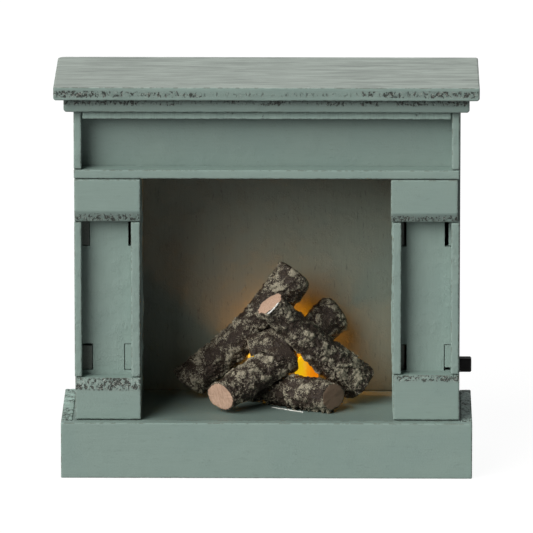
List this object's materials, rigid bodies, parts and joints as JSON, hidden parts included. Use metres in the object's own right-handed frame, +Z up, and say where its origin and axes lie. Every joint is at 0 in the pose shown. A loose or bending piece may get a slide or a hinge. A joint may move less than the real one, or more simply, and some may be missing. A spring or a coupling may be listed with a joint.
{
  "type": "miniature fireplace mantel",
  "caption": "Dolls' house fireplace surround on a hollow base: panelled columns, sunk frieze, overhanging shelf, and a lit resin log pile with side switch and rear battery lid.",
  "frame": {"origin": "on the surface that the base stands on, under the middle of the shelf's width and depth", "axes": "+Z up, +X to the viewer's right when facing the firebox, -Y out of the front"},
  "size_m": [0.15, 0.0546, 0.1422],
  "materials": {
    "painted_wood": "satin dusty blue-green paint on thin plywood, worn at the edges",
    "shaded_paint": "satin paint inside the firebox",
    "bare_wood": "bare plywood under the base",
    "log_resin": "cast resin painted as mottled bark, pale cut ends",
    "amber_plastic": "translucent amber, lit from inside",
    "lamp_lens": "clear warm lamp lens, lit",
    "black_plastic": "fine moulded texture",
    "circuit_board": "brown pressed laminate",
    "plated_steel": "bright plated",
    "cell_jacket": "printed-free sleeve, glossy",
    "red_wire": "vinyl insulation",
    "black_wire": "vinyl insulation"
  },
  "bodies": {
    "surround": {"back_board": "painted_wood", "base_back_board": "painted_wood", "base_bottom_board": "bare_wood", "base_front_board": "painted_wood", "base_left_board": "painted_wood", "base_right_board": "painted_wood", "battery_box": "black_plastic", "battery_cell_left": "cell_jacket", "battery_cell_right": "cell_jacket", "battery_spring": "plated_steel", "cornice_board": "painted_wood", "firebox_ceiling": "shaded_paint", "frieze_bottom_rail": "painted_wood", "frieze_left_stile": "painted_wood", "frieze_panel": "painted_wood", "frieze_right_stile": "painted_wood", "frieze_top_rail": "painted_wood", "glow_cap": "amber_plastic", "hearth_board": "painted_wood", "lamp": "lamp_lens", "lamp_left_lead": "plated_steel", "lamp_right_lead": "plated_steel", "left_cap_block": "painted_wood", "left_column_inner_strip": "painted_wood", "left_column_outer_strip": "painted_wood", "left_column_panel": "painted_wood", "left_firebox_cheek": "painted_wood", "left_foot_block": "painted_wood", "left_side_board": "painted_wood", "log_back_left": "log_resin", "log_back_right": "log_resin", "log_front_left": "log_resin", "log_front_right": "log_resin", "log_middle": "log_resin", "log_top_right": "log_resin", "negative_contact": "plated_steel", "positive_contact": "plated_steel", "right_cap_block": "painted_wood", "right_column_inner_strip": "painted_wood", "right_column_outer_strip": "painted_wood", "right_column_panel": "painted_wood", "right_firebox_cheek": "painted_wood", "right_foot_block": "painted_wood", "right_side_board": "painted_wood", "shelf_board": "painted_wood", "switch_contact_board": "circuit_board", "switch_front_pin": "plated_steel", "switch_middle_pin": "plated_steel", "switch_rear_pin": "plated_steel", "switch_shell": "plated_steel", "wire_cells_to_switch": "red_wire", "wire_lamp_to_cells": "black_wire", "wire_switch_to_lamp": "red_wire"},
    "switch_slider": {"switch_slider": "black_plastic"},
    "battery_lid": {"battery_lid": "black_plastic"},
    "battery_screw": {"battery_screw": "plated_steel"}
  },
  "joints": [
    {"name": "switch_slide", "type": "slide", "parent": "surround", "child": "switch_slider", "axis": [0, 1, 0], "range_m": [0, 0.003]},
    {"name": "battery_lid_pull", "type": "slide", "parent": "surround", "child": "battery_lid", "axis": [0, 1, 0], "range_m": [0, 0.015]},
    {"name": "battery_screw_turn", "type": "hinge", "parent": "battery_lid", "child": "battery_screw", "pos_m": [0.048, 0.02615, 0.01005], "axis": [0, 1, 0], "continuous": true}
  ]
}
